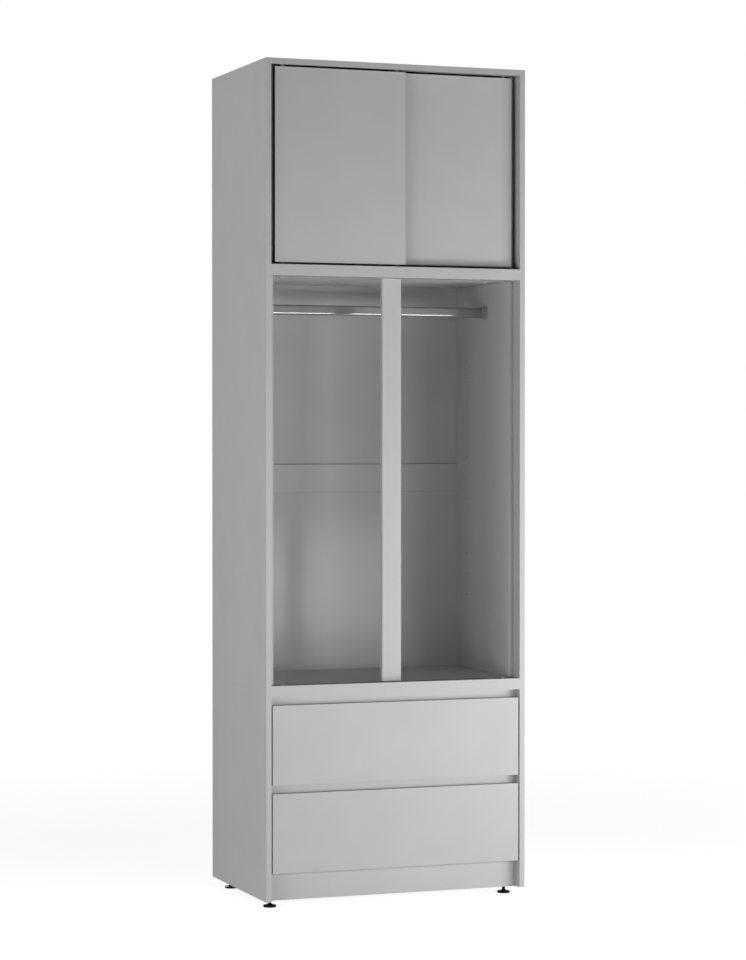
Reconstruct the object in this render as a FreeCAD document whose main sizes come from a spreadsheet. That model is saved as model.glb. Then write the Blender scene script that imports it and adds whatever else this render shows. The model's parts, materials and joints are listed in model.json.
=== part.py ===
import FreeCAD, Part
import Sketcher
import os

# Tall wardrobe of grey board: a drawer base, an open hanging bay and a loft box with sliding doors.
# Origin on the floor under the middle of the wardrobe, +Z up, the front looks along -Y.

doc = FreeCAD.newDocument("Wardrobe")
sheet = doc.addObject("Spreadsheet::Sheet", "Sizes")

DRIVING_SIZES = [
    ("body_width", 800, "width over the side boards"),
    ("body_depth", 515, "depth of the side boards"),
    ("base_height", 600, "height of the drawer base"),
    ("bay_height", 1200, "height of the hanging bay"),
    ("loft_height", 600, "height of the loft box"),
    ("board", 16, "thickness of the carcass boards"),
    ("foot_height", 25, "floor to the lower edge of the side boards"),
    ("back_board", 3, "thickness of the back panels"),
    ("back_setback", 20, "rear edge of the sides to the back panel"),
    ("back_groove", 8, "depth of the grooves that hold the back panels"),
    ("back_tongue", 7, "how far a back panel reaches into its groove"),
    ("groove_play", 0.2, "play on each face of a thin panel in its groove"),
    ("rail_height", 84, "height of the rail between the two back panels"),
    ("plinth_height", 80, "height of the plinth board"),
    ("front_recess", 30, "front edge to the plinth and the finger rails"),
    ("finger_gap", 24, "open height above each drawer front"),
    ("drawer_side_gap", 4, "drawer front to the side board"),
    ("rail_drop", 22, "finger rail below the top of the front under it"),
    ("rail_rise", 20, "finger rail above the bottom of the front over it"),
    ("drawer_play", 6, "drawer box to the finger rails"),
    ("drawer_board", 12, "thickness of the drawer sides and back"),
    ("drawer_length", 450, "length of the drawer sides"),
    ("drawer_panel", 3, "thickness of the drawer bottoms"),
    ("drawer_panel_lift", 12, "lower edge of the drawer side to the drawer bottom"),
    ("drawer_groove", 6, "depth of the grooves for the drawer bottoms"),
    ("drawer_tongue", 5, "how far a drawer bottom reaches into its grooves"),
    ("runner_space", 12.7, "side board to drawer side"),
    ("runner_height", 45, "height of the runner's cabinet member"),
    ("runner_length", 440, "length of the runner members"),
    ("runner_setback", 20, "front edge to the runner"),
    ("runner_lift", 22, "lower edge of the drawer side to the runner"),
    ("runner_sheet", 1.2, "sheet thickness of the runner members"),
    ("runner_play", 0.5, "play between nested runner members"),
    ("runner_lip", 0.5, "free end of a runner lip to the next web"),
    ("door_overlap", 58, "front door past the edge of the rear door when both are closed"),
    ("door_board", 16, "thickness of a sliding door"),
    ("door_gap", 6, "sliding door to the boards above and below"),
    ("door_side_gap", 14, "closed sliding door to the side board"),
    ("door_setback", 10, "front edge to the front door"),
    ("door_pass", 4, "front door to the rear door"),
    ("strip_width", 15, "width of the strips on the side boards"),
    ("strip_board", 16, "depth of the strips"),
    ("strip_gap", 2, "back of a door to its strip"),
    ("post_width", 58, "width of the central post"),
    ("post_board", 16, "thickness of the central post"),
    ("track_width", 8, "outer width of a door track"),
    ("track_height", 6, "depth of a door track in its board"),
    ("track_wall", 1.3, "wall of a door track"),
    ("track_play", 0.1, "door track to its groove"),
    ("glide_length", 9, "length of a glide shoe"),
    ("glide_inset", 20, "door edge to the glide shoe"),
    ("glide_block", 10, "thickness of the glide shoe in the door"),
    ("glide_depth", 12, "depth of the glide shoe in the door"),
    ("glide_play", 0.3, "glide shoe's fin to the track"),
    ("glide_fit", 0.1, "glide shoe to its mortise"),
    ("stop_inset", 34, "side board to a track stop"),
    ("stop_length", 9, "length of a track stop"),
    ("stop_height", 2.5, "track stop above the board"),
    ("rod_height", 30, "height of the oval hanging rod"),
    ("rod_width", 15, "width of the oval hanging rod"),
    ("rod_wall", 1.2, "wall of the hanging rod"),
    ("rod_drop", 85, "top board to the middle of the rod"),
    ("rod_setback", 260, "front edge to the middle of the rod"),
    ("socket_plate", 2.5, "thickness of a rod socket's plate"),
    ("socket_rim", 3, "wall of a rod socket's cup"),
    ("socket_reach", 14, "side board to the mouth of a rod socket"),
    ("socket_flange", 4, "plate past the cup of a rod socket"),
    ("socket_play", 0.3, "rod to its socket"),
    ("pin_radius", 2.5, "radius of the shelf pin holes"),
    ("pin_depth", 12, "depth of the shelf pin holes"),
    ("pin_front", 92, "front edge to the front column of pin holes"),
    ("pin_rear", 408, "front edge to the rear column of pin holes"),
    ("pin_pitch", 64, "step between pin holes in a group"),
    ("pin_group", 294, "step between groups of pin holes"),
    ("foot_side", 35, "side of the wardrobe to a foot"),
    ("foot_end", 75, "front or rear edge to a foot"),
    ("pad_radius", 19, "radius of a foot pad"),
    ("pad_thickness", 6, "thickness of a foot pad"),
    ("collar_radius", 9, "radius of the foot's collar on its pad"),
    ("collar_height", 5, "height of the foot's collar"),
    ("stem_radius", 5, "radius of a foot stem"),
    ("stem_length", 59, "length of a foot stem above its pad"),
    ("stem_play", 0.05, "running clearance of a foot stem"),
    ("bracket_depth", 40, "foot bracket along the side board"),
    ("bracket_height", 50, "height of a foot bracket"),
    ("bracket_lift", 2, "lower edge of the side board to a foot bracket"),
    ("bracket_wall", 10, "foot bracket past the stem"),
    ("cam_radius", 7.5, "radius of a cam disc"),
    ("cam_height", 12.5, "height of a cam disc"),
    ("cam_pocket", 13, "depth of a cam pocket"),
    ("cam_inset", 34, "side board to the middle of a cam"),
    ("cam_end", 70, "front or rear edge to a cam"),
    ("cam_play", 0.1, "cam and cam bolt in their holes"),
    ("cam_gap", 0.3, "end of a cam bolt to its cam disc"),
    ("cam_bolt_radius", 3, "radius of a cam bolt's shank"),
    ("cam_thread_radius", 2.5, "radius of a cam bolt's thread"),
    ("cam_thread_length", 11, "length of a cam bolt's thread"),
    ("link_side", 80, "side of the wardrobe to a module bolt"),
    ("link_end", 110, "front or rear edge to a module bolt"),
    ("link_radius", 3, "radius of a module bolt"),
    ("sleeve_radius", 4, "outer radius of a module bolt's sleeve"),
    ("link_head_radius", 7.5, "head radius of a module bolt and its sleeve"),
    ("link_head_height", 1.5, "head height of a module bolt and its sleeve"),
    ("link_play", 0.1, "play of a module bolt and its sleeve"),
    ("sleeve_short", 4, "sleeve's free end to the head under it"),
]

for row, (alias, value, note) in enumerate(DRIVING_SIZES, start=1):
    sheet.set(f"A{row}", note)
    sheet.set(f"B{row}", str(value))
    sheet.setAlias(f"B{row}", alias)
doc.recompute()


# Places that follow from the driving sizes, as expressions on the sheet.

LEFT = "(-Sizes.body_width / 2)"
LEFT_INNER = "(Sizes.board - Sizes.body_width / 2)"
RIGHT_INNER = "(Sizes.body_width / 2 - Sizes.board)"
FRONT = "(-Sizes.body_depth / 2)"
INNER_WIDTH = "(Sizes.body_width - 2 * Sizes.board)"
BASE_FLOOR = "Sizes.foot_height"
BAY_FLOOR = "(Sizes.foot_height + Sizes.base_height)"
LOFT_FLOOR = "(Sizes.foot_height + Sizes.base_height + Sizes.bay_height)"
BACK_FACE = "(Sizes.body_depth - Sizes.back_setback - Sizes.back_board)"
BACK_SLOT = "(Sizes.back_board + 2 * Sizes.groove_play)"
BACK_SLOT_EDGE = f"({BACK_FACE} - Sizes.groove_play)"
REAR_DOOR = "(Sizes.door_setback + Sizes.door_board + Sizes.door_pass)"
LEFT_STRIP = "(Sizes.door_setback + Sizes.door_board + Sizes.strip_gap)"
RIGHT_STRIP = f"({REAR_DOOR} + Sizes.door_board + Sizes.strip_gap)"
CAM_REAR = "(Sizes.body_depth - Sizes.cam_end)"
LINK_REAR = "(Sizes.body_depth - Sizes.link_end)"


def value_of(expression):
    return float(sheet.evalExpression(expression))


def add(*expressions):
    return "(" + " + ".join(expressions) + ")"


def less(first, *others):
    return "(" + " - ".join((first,) + others) + ")"


def half(expression):
    return f"({expression} / 2)"


# Sketch and feature helpers for boards that are cut, grooved and drilled.

def place(item, x, y, z):
    item.setExpression("Placement.Base.x", x)
    item.setExpression("Placement.Base.y", y)
    item.setExpression("Placement.Base.z", z)


def new_body(label, x, y, z):
    body = doc.addObject("PartDesign::Body", label)
    body.Label = label
    place(body, x, y, z)
    return body


def new_sketch(body, plane, level):
    sketch = body.newObject("Sketcher::SketchObject", f"{body.Label}_sketch")
    support = [item for item in body.Origin.OriginFeatures if item.Role == plane][0]
    sketch.AttachmentSupport = (support, [""])
    sketch.MapMode = "FlatFace"
    offset = f"-({level})" if plane == "XZ_Plane" else level
    sketch.setExpression("AttachmentOffset.Base.z", offset)
    return sketch


def bind(sketch, constraint, expression):
    index = sketch.addConstraint(constraint)
    name = f"size_{index}"
    sketch.renameConstraint(index, name)
    sketch.setExpression(f"Constraints.{name}", expression)


def draw_rectangle(sketch, x, y, width, height):
    low_x, low_y = value_of(x), value_of(y)
    high_x, high_y = low_x + value_of(width), low_y + value_of(height)
    corners = [(low_x, low_y), (high_x, low_y), (high_x, high_y), (low_x, high_y)]
    points = [FreeCAD.Vector(px, py, 0) for px, py in corners]
    first = sketch.GeometryCount
    for index in range(4):
        sketch.addGeometry(Part.LineSegment(points[index], points[(index + 1) % 4]), False)
    for index in range(4):
        follower = first + (index + 1) % 4
        sketch.addConstraint(Sketcher.Constraint("Coincident", first + index, 2, follower, 1))
    for index in (0, 2):
        sketch.addConstraint(Sketcher.Constraint("Horizontal", first + index))
        sketch.addConstraint(Sketcher.Constraint("Vertical", first + index + 1))
    bind(sketch, Sketcher.Constraint("DistanceX", -1, 1, first, 1, low_x), x)
    bind(sketch, Sketcher.Constraint("DistanceY", -1, 1, first, 1, low_y), y)
    bind(sketch, Sketcher.Constraint("DistanceX", first, 1, first, 2, high_x - low_x), width)
    bind(sketch, Sketcher.Constraint("DistanceY", first + 1, 1, first + 1, 2, high_y - low_y), height)


def draw_circle(sketch, x, y, radius):
    centre = FreeCAD.Vector(value_of(x), value_of(y), 0)
    circle = Part.Circle(centre, FreeCAD.Vector(0, 0, 1), value_of(radius))
    index = sketch.addGeometry(circle, False)
    bind(sketch, Sketcher.Constraint("DistanceX", -1, 1, index, 3, centre.x), x)
    bind(sketch, Sketcher.Constraint("DistanceY", -1, 1, index, 3, centre.y), y)
    bind(sketch, Sketcher.Constraint("Radius", index, value_of(radius)), radius)


def pad(body, sketch, length):
    feature = body.newObject("PartDesign::Pad", f"{body.Label}_pad")
    feature.Profile = sketch
    feature.setExpression("Length", length)
    feature.Reversed = "XZ" in sketch.AttachmentSupport[0][0].Role
    body.Tip = feature
    return feature


def pocket(body, sketch, depth, towards_plus):
    feature = body.newObject("PartDesign::Pocket", f"{body.Label}_pocket")
    feature.Profile = sketch
    feature.setExpression("Length", depth)
    plus_is_default = "XZ" in sketch.AttachmentSupport[0][0].Role
    feature.Reversed = towards_plus != plus_is_default
    body.Tip = feature
    return feature


def board(label, plane, width, height, thickness, x, y, z):
    body = new_body(label, x, y, z)
    sketch = new_sketch(body, plane, "0")
    draw_rectangle(sketch, "0", "0", width, height)
    pad(body, sketch, thickness)
    return body


def groove(body, plane, level, rectangles, depth, towards_plus):
    sketch = new_sketch(body, plane, level)
    for x, y, width, height in rectangles:
        draw_rectangle(sketch, x, y, width, height)
    return pocket(body, sketch, depth, towards_plus)


def drill(body, plane, level, centres, radius, depth, towards_plus):
    sketch = new_sketch(body, plane, level)
    for x, y in centres:
        draw_circle(sketch, x, y, radius)
    return pocket(body, sketch, depth, towards_plus)


# Block helpers for hardware.

def block(label, length, width, height, x, y, z):
    item = doc.addObject("Part::Box", label)
    item.setExpression("Length", length)
    item.setExpression("Width", width)
    item.setExpression("Height", height)
    place(item, x, y, z)
    return item


def rod_along(label, radius, length, x, y, z, axis):
    item = doc.addObject("Part::Cylinder", label)
    item.setExpression("Radius", radius)
    item.setExpression("Height", length)
    turn = FreeCAD.Rotation(FreeCAD.Vector(0, 0, 1), axis)
    item.Placement = FreeCAD.Placement(FreeCAD.Vector(0, 0, 0), turn)
    place(item, x, y, z)
    return item


def cut(label, base, tool):
    item = doc.addObject("Part::Cut", label)
    item.Base = base
    item.Tool = tool
    return item


def fuse(label, shapes):
    item = doc.addObject("Part::MultiFuse", label)
    item.Shapes = shapes
    return item


def group(label, solids):
    item = doc.addObject("Part::Compound", label)
    item.Label = label
    item.Links = solids
    return item


sub_parts = []
ALONG_X = FreeCAD.Vector(1, 0, 0)
AGAINST_X = FreeCAD.Vector(-1, 0, 0)
ALONG_Z = FreeCAD.Vector(0, 0, 1)


# Carcass: three boxes of side boards with a top and a bottom between them, held by cam locks.

CAM_COLUMNS = ("Sizes.cam_end", CAM_REAR)
CAM_BORE = "(Sizes.cam_inset - Sizes.cam_radius)"
LINK_PLACES = [(x, y) for x in ("-1", "1") for y in ("Sizes.link_end", LINK_REAR)]
cam_solids = []
link_solids = []


def side_board(label, height, floor, is_left, board_levels, pin_holes=False):
    x = LEFT if is_left else RIGHT_INNER
    inner_face = "Sizes.board" if is_left else "0"
    side = board(label, "YZ_Plane", "Sizes.body_depth", height, "Sizes.board", x, FRONT, floor)
    slot = [(BACK_SLOT_EDGE, "0", BACK_SLOT, height)]
    groove(side, "YZ_Plane", inner_face, slot, "Sizes.back_groove", not is_left)
    thread_radius = "(Sizes.cam_thread_radius + Sizes.cam_play)"
    thread_depth = "(Sizes.cam_thread_length + Sizes.cam_play)"
    threads = [(y, level) for y in CAM_COLUMNS for level in board_levels]
    drill(side, "YZ_Plane", inner_face, threads, thread_radius, thread_depth, not is_left)
    if pin_holes:
        steps = [(group_step, step) for group_step in (-1, 0, 1) for step in (-1, 0, 1)]
        rows = [f"(Sizes.bay_height / 2 + {g} * Sizes.pin_group + {s} * Sizes.pin_pitch)" for g, s in steps]
        pins = [(y, row) for y in ("Sizes.pin_front", "Sizes.pin_rear") for row in rows]
        drill(side, "YZ_Plane", inner_face, pins, "Sizes.pin_radius", "Sizes.pin_depth", not is_left)
    sub_parts.append(side)


def cam_set(label, floor, cams_on_top):
    bolt_level = add(floor, half("Sizes.board"))
    disc_level = add(floor, "Sizes.board", "-Sizes.cam_height") if cams_on_top else floor
    for number, y in enumerate(CAM_COLUMNS):
        depth_place = add(FRONT, y)
        for side_name, face, axis, sign in (
            ("left", LEFT_INNER, ALONG_X, 1),
            ("right", RIGHT_INNER, AGAINST_X, -1),
        ):
            name = f"{label}_{side_name}_{number}"
            disc_x = f"({face} + {sign} * Sizes.cam_inset)"
            disc = rod_along(f"{name}_cam", "Sizes.cam_radius", "Sizes.cam_height",
                             disc_x, depth_place, disc_level, ALONG_Z)
            shank_length = f"({CAM_BORE} - Sizes.cam_gap)"
            shank = rod_along(f"{name}_shank", "Sizes.cam_bolt_radius", shank_length,
                              face, depth_place, bolt_level, axis)
            thread_x = f"({face} - {sign} * Sizes.cam_thread_length)"
            thread = rod_along(f"{name}_thread", "Sizes.cam_thread_radius", "Sizes.cam_thread_length",
                               thread_x, depth_place, bolt_level, axis)
            cam_solids.extend([disc, fuse(f"{name}_bolt", [shank, thread])])


def shelf_board(label, floor, cams_on_top, set_back="0", back_slot_on_top=None, track_on_top=None, links=False):
    depth = less("Sizes.body_depth", set_back)
    shelf = board(label, "XY_Plane", INNER_WIDTH, depth, "Sizes.board", LEFT_INNER, add(FRONT, set_back), floor)
    if back_slot_on_top is not None:
        level = "Sizes.board" if back_slot_on_top else "0"
        slot = [("0", less(BACK_SLOT_EDGE, set_back), INNER_WIDTH, BACK_SLOT)]
        groove(shelf, "XY_Plane", level, slot, "Sizes.back_groove", not back_slot_on_top)
    if track_on_top is not None:
        level = "Sizes.board" if track_on_top else "0"
        tracks = [("0", edge, INNER_WIDTH, TRACK_SLOT) for edge in TRACK_SLOT_EDGES]
        groove(shelf, "XY_Plane", level, tracks, "Sizes.track_height", not track_on_top)
    columns = [less(y, set_back) for y in CAM_COLUMNS]
    middles = ("Sizes.cam_inset", less(INNER_WIDTH, "Sizes.cam_inset"))
    pockets = [(x, y) for x in middles for y in columns]
    pocket_radius = "(Sizes.cam_radius + Sizes.cam_play)"
    pocket_level = "Sizes.board" if cams_on_top else "0"
    drill(shelf, "XY_Plane", pocket_level, pockets, pocket_radius, "Sizes.cam_pocket", not cams_on_top)
    bores = [(y, half("Sizes.board")) for y in columns]
    bore_radius = "(Sizes.cam_bolt_radius + Sizes.cam_play)"
    drill(shelf, "YZ_Plane", "0", bores, bore_radius, CAM_BORE, True)
    drill(shelf, "YZ_Plane", INNER_WIDTH, bores, bore_radius, CAM_BORE, False)
    if links:
        middle = half(INNER_WIDTH)
        reach = half("Sizes.body_width") + " - Sizes.link_side"
        holes = [(f"({middle} + {sign} * ({reach}))", y) for sign, y in LINK_PLACES]
        drill(shelf, "XY_Plane", "0", holes, "(Sizes.sleeve_radius + Sizes.link_play)", "Sizes.board", True)
    cam_set(label, floor, cams_on_top)
    sub_parts.append(shelf)


def back_panel(label, low, high):
    width = add(INNER_WIDTH, "2 * Sizes.back_tongue")
    x = less(LEFT_INNER, "Sizes.back_tongue")
    low_edge = less(low, "Sizes.back_tongue")
    height = add(less(high, low), "2 * Sizes.back_tongue")
    panel = block(label, width, "Sizes.back_board", height, x, add(FRONT, BACK_FACE), low_edge)
    sub_parts.append(panel)


def module_bolts(name, level):
    reach = half("Sizes.body_width") + " - Sizes.link_side"
    for number, (sign, y) in enumerate(LINK_PLACES):
        x = f"({sign} * ({reach}))"
        depth_place = add(FRONT, y)
        top = add(level, "Sizes.board")
        bottom = less(level, "Sizes.board")
        tube_end = add(bottom, "Sizes.sleeve_short")
        tag = f"{name}_{number}"
        sleeve_head = rod_along(f"{tag}_sleeve_head", "Sizes.link_head_radius", "Sizes.link_head_height",
                                x, depth_place, top, ALONG_Z)
        tube = rod_along(f"{tag}_tube", "Sizes.sleeve_radius", less(top, tube_end),
                         x, depth_place, tube_end, ALONG_Z)
        bore = rod_along(f"{tag}_bore", "(Sizes.link_radius + Sizes.link_play)", less(top, tube_end),
                         x, depth_place, tube_end, ALONG_Z)
        sleeve = cut(f"{tag}_sleeve", fuse(f"{tag}_sleeve_blank", [sleeve_head, tube]), bore)
        head = rod_along(f"{tag}_head", "Sizes.link_head_radius", "Sizes.link_head_height",
                         x, depth_place, less(bottom, "Sizes.link_head_height"), ALONG_Z)
        shank_length = less(add("2 * Sizes.board"), "Sizes.link_play")
        shank = rod_along(f"{tag}_shank", "Sizes.link_radius", shank_length, x, depth_place, bottom, ALONG_Z)
        link_solids.extend([sleeve, fuse(f"{tag}_screw", [head, shank])])


# Door tracks: channels let into the boards above and below the doors, one under each door plane.

TRACK_SLOT = "(Sizes.track_width + 2 * Sizes.track_play)"
TRACK_MIDDLES = (add("Sizes.door_setback", half("Sizes.door_board")), add(REAR_DOOR, half("Sizes.door_board")))
TRACK_SLOT_EDGES = [less(middle, half(TRACK_SLOT)) for middle in TRACK_MIDDLES]
TRACK_BED = "(Sizes.track_height - Sizes.track_wall)"
SLOT_WIDTH = "(Sizes.track_width - 2 * Sizes.track_wall)"
FIN_WIDTH = f"({SLOT_WIDTH} - 2 * Sizes.glide_play)"


def door_tracks(label, face, opens_up):
    channels = []
    for number, middle in enumerate(TRACK_MIDDLES):
        floor = less(face, "Sizes.track_height") if opens_up else face
        slot_floor = less(face, TRACK_BED) if opens_up else face
        y = add(FRONT, middle, "-Sizes.track_width / 2")
        slot_y = add(FRONT, middle, f"-{SLOT_WIDTH} / 2")
        outer = block(f"{label}_outer_{number}", INNER_WIDTH, "Sizes.track_width", "Sizes.track_height",
                      LEFT_INNER, y, floor)
        inner = block(f"{label}_slot_{number}", INNER_WIDTH, SLOT_WIDTH, TRACK_BED,
                      LEFT_INNER, slot_y, slot_floor)
        channels.append(cut(f"{label}_channel_{number}", outer, inner))
    sub_parts.append(group(label, channels))


def side_strips(name, floor, height):
    clear_floor = add(floor, "Sizes.board")
    clear_height = less(height, "2 * Sizes.board")
    right_x = less(RIGHT_INNER, "Sizes.strip_width")
    for label, x, setback in (
        (f"{name}_left_strip", LEFT_INNER, LEFT_STRIP),
        (f"{name}_right_strip", right_x, RIGHT_STRIP),
    ):
        strip = block(label, "Sizes.strip_width", "Sizes.strip_board", clear_height,
                      x, add(FRONT, setback), clear_floor)
        sub_parts.append(strip)


# Drawer base.

BASE_BOTTOM = add(BASE_FLOOR, "Sizes.plinth_height")
BASE_TOP = add(BASE_FLOOR, "Sizes.base_height", "-Sizes.board")
BASE_LEVELS = (add("Sizes.plinth_height", half("Sizes.board")), "(Sizes.base_height - Sizes.board / 2)")

side_board("base_left_side", "Sizes.base_height", BASE_FLOOR, True, BASE_LEVELS)
side_board("base_right_side", "Sizes.base_height", BASE_FLOOR, False, BASE_LEVELS)
shelf_board("base_bottom", BASE_BOTTOM, False, "Sizes.front_recess", back_slot_on_top=True)
shelf_board("base_top", BASE_TOP, True, back_slot_on_top=False, links=True)
back_panel("base_back", add(BASE_BOTTOM, "Sizes.board"), BASE_TOP)

recess_front = add(FRONT, "Sizes.front_recess")
plinth = board("plinth", "XZ_Plane", INNER_WIDTH, "Sizes.plinth_height", "Sizes.board",
               LEFT_INNER, recess_front, BASE_FLOOR)
sub_parts.append(plinth)

FRONT_HEIGHT = "((Sizes.base_height - Sizes.board - Sizes.plinth_height - 2 * Sizes.finger_gap) / 2)"
LOWER_FRONT = BASE_BOTTOM
UPPER_FRONT = add(LOWER_FRONT, FRONT_HEIGHT, "Sizes.finger_gap")
MIDDLE_RAIL_FLOOR = add(LOWER_FRONT, FRONT_HEIGHT, "-Sizes.rail_drop")
MIDDLE_RAIL_HEIGHT = "(Sizes.rail_drop + Sizes.finger_gap + Sizes.rail_rise)"
TOP_RAIL_FLOOR = add(UPPER_FRONT, FRONT_HEIGHT, "-Sizes.rail_drop")
TOP_RAIL_HEIGHT = "(Sizes.rail_drop + Sizes.finger_gap)"

for rail_label, rail_floor, rail_height in (
    ("lower_finger_rail", MIDDLE_RAIL_FLOOR, MIDDLE_RAIL_HEIGHT),
    ("upper_finger_rail", TOP_RAIL_FLOOR, TOP_RAIL_HEIGHT),
):
    rail = board(rail_label, "XZ_Plane", INNER_WIDTH, rail_height, "Sizes.board",
                 LEFT_INNER, recess_front, rail_floor)
    sub_parts.append(rail)


# Drawers: a front, two sides, a back and a bottom held in grooves on all four.

FRONT_WIDTH = less(INNER_WIDTH, "2 * Sizes.drawer_side_gap")
BOX_WIDTH = less(INNER_WIDTH, "2 * Sizes.runner_space")
BOX_LIFT = "(Sizes.rail_rise + Sizes.drawer_play)"
BOX_HEIGHT = f"({FRONT_HEIGHT} - {BOX_LIFT} - Sizes.rail_drop - Sizes.drawer_play)"
BOX_INNER = less(BOX_WIDTH, "2 * Sizes.drawer_board")
PANEL_SLOT = "(Sizes.drawer_panel + 2 * Sizes.groove_play)"
PANEL_SLOT_LIFT = "(Sizes.drawer_panel_lift - Sizes.groove_play)"
BOX_LEFT = add(LEFT_INNER, "Sizes.runner_space")
BOX_FRONT = add(FRONT, "Sizes.board")
BACK_PLACE = less("Sizes.drawer_length", "Sizes.drawer_board")


def drawer(name, front_floor):
    box_floor = add(front_floor, BOX_LIFT)
    front = board(f"{name}_front", "XZ_Plane", FRONT_WIDTH, FRONT_HEIGHT, "Sizes.board",
                  add(LEFT_INNER, "Sizes.drawer_side_gap"), FRONT, front_floor)
    slot_x = "(Sizes.runner_space - Sizes.drawer_side_gap + Sizes.drawer_board - Sizes.drawer_groove)"
    slot = [(slot_x, add(BOX_LIFT, PANEL_SLOT_LIFT), add(BOX_INNER, "2 * Sizes.drawer_groove"), PANEL_SLOT)]
    groove(front, "XZ_Plane", "Sizes.board", slot, "Sizes.drawer_groove", False)
    sub_parts.append(front)
    right_x = add(BOX_LEFT, BOX_WIDTH, "-Sizes.drawer_board")
    side_slot = [("0", PANEL_SLOT_LIFT, "Sizes.drawer_length", PANEL_SLOT)]
    for side_name, x, inner_face, towards_plus in (
        ("left", BOX_LEFT, "Sizes.drawer_board", False),
        ("right", right_x, "0", True),
    ):
        side = board(f"{name}_{side_name}_side", "YZ_Plane", "Sizes.drawer_length", BOX_HEIGHT,
                     "Sizes.drawer_board", x, BOX_FRONT, box_floor)
        groove(side, "YZ_Plane", inner_face, side_slot, "Sizes.drawer_groove", towards_plus)
        sub_parts.append(side)
    back = board(f"{name}_back", "XZ_Plane", BOX_INNER, BOX_HEIGHT, "Sizes.drawer_board",
                 add(BOX_LEFT, "Sizes.drawer_board"), add(BOX_FRONT, BACK_PLACE), box_floor)
    groove(back, "XZ_Plane", "0", [("0", PANEL_SLOT_LIFT, BOX_INNER, PANEL_SLOT)], "Sizes.drawer_groove", True)
    sub_parts.append(back)
    bottom = block(f"{name}_bottom", add(BOX_INNER, "2 * Sizes.drawer_tongue"),
                   add(BACK_PLACE, "2 * Sizes.drawer_tongue"), "Sizes.drawer_panel",
                   add(BOX_LEFT, "Sizes.drawer_board", "-Sizes.drawer_tongue"),
                   less(BOX_FRONT, "Sizes.drawer_tongue"), add(box_floor, "Sizes.drawer_panel_lift"))
    sub_parts.append(bottom)


# Runners: a cabinet member and a middle member that open to the drawer, and a drawer member inside them.

NEST = "(Sizes.runner_sheet + Sizes.runner_play)"


def runner_member(label, depth, height, web_on_plus, x, y, z):
    outer = block(f"{label}_outer", depth, "Sizes.runner_length", height, x, y, z)
    hollow_x = x if web_on_plus else add(x, "Sizes.runner_sheet")
    hollow = block(f"{label}_hollow", less(depth, "Sizes.runner_sheet"), "Sizes.runner_length",
                   less(height, "2 * Sizes.runner_sheet"), hollow_x, y, add(z, "Sizes.runner_sheet"))
    return cut(label, outer, hollow)


def runners(name, front_floor):
    y = add(FRONT, "Sizes.runner_setback")
    floor = add(front_floor, BOX_LIFT, "Sizes.runner_lift")
    cabinet_depth = less("Sizes.runner_space", "Sizes.runner_lip")
    middle_depth = less("Sizes.runner_space", NEST, "Sizes.runner_sheet", "Sizes.runner_lip")
    drawer_depth = less("Sizes.runner_space", NEST, NEST)
    members = {"cabinet": [], "middle": [], "drawer": []}
    for side_name, on_left in (("left", True), ("right", False)):
        def from_side(distance, depth):
            if on_left:
                return add(LEFT_INNER, distance)
            return less(RIGHT_INNER, distance, depth)
        for kind, distance, depth, steps, web_outside in (
            ("cabinet", "0", cabinet_depth, 0, True),
            ("middle", NEST, middle_depth, 1, True),
            ("drawer", add(NEST, NEST), drawer_depth, 2, False),
        ):
            height = f"(Sizes.runner_height - {2 * steps} * {NEST})"
            level = f"({floor} + {steps} * {NEST})"
            web_on_plus = web_outside != on_left
            tag = f"{name}_runner_{kind}_{side_name}"
            member = runner_member(tag, depth, height, web_on_plus, from_side(distance, depth), y, level)
            members[kind].append(member)
    for kind, solids in members.items():
        sub_parts.append(group(f"{name}_runner_{kind}_members", solids))


for drawer_name, floor_of_front in (("lower_drawer", LOWER_FRONT), ("upper_drawer", UPPER_FRONT)):
    drawer(drawer_name, floor_of_front)
    runners(drawer_name, floor_of_front)


# Levelling feet: a round pad with a collar and a stem that turns in a bracket on the side board.

FOOT_X = less(half("Sizes.body_width"), "Sizes.foot_side")
FOOT_Y = less(half("Sizes.body_depth"), "Sizes.foot_end")
brackets = []


def draw_foot_profile(sketch):
    collar_top = "(Sizes.pad_thickness + Sizes.collar_height)"
    stem_top = "(Sizes.pad_thickness + Sizes.stem_length)"
    outline = [
        ("0", "0"),
        ("Sizes.pad_radius", "0"),
        ("Sizes.pad_radius", "Sizes.pad_thickness"),
        ("Sizes.collar_radius", "Sizes.pad_thickness"),
        ("Sizes.stem_radius", collar_top),
        ("Sizes.stem_radius", stem_top),
        ("0", stem_top),
    ]
    points = [FreeCAD.Vector(value_of(x), value_of(y), 0) for x, y in outline]
    count = len(points)
    for index in range(count):
        sketch.addGeometry(Part.LineSegment(points[index], points[(index + 1) % count]), False)
    for index in range(count):
        sketch.addConstraint(Sketcher.Constraint("Coincident", index, 2, (index + 1) % count, 1))
    for index, (x, y) in enumerate(outline):
        bind(sketch, Sketcher.Constraint("DistanceX", -1, 1, index, 1, points[index].x), x)
        bind(sketch, Sketcher.Constraint("DistanceY", -1, 1, index, 1, points[index].y), y)


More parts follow.
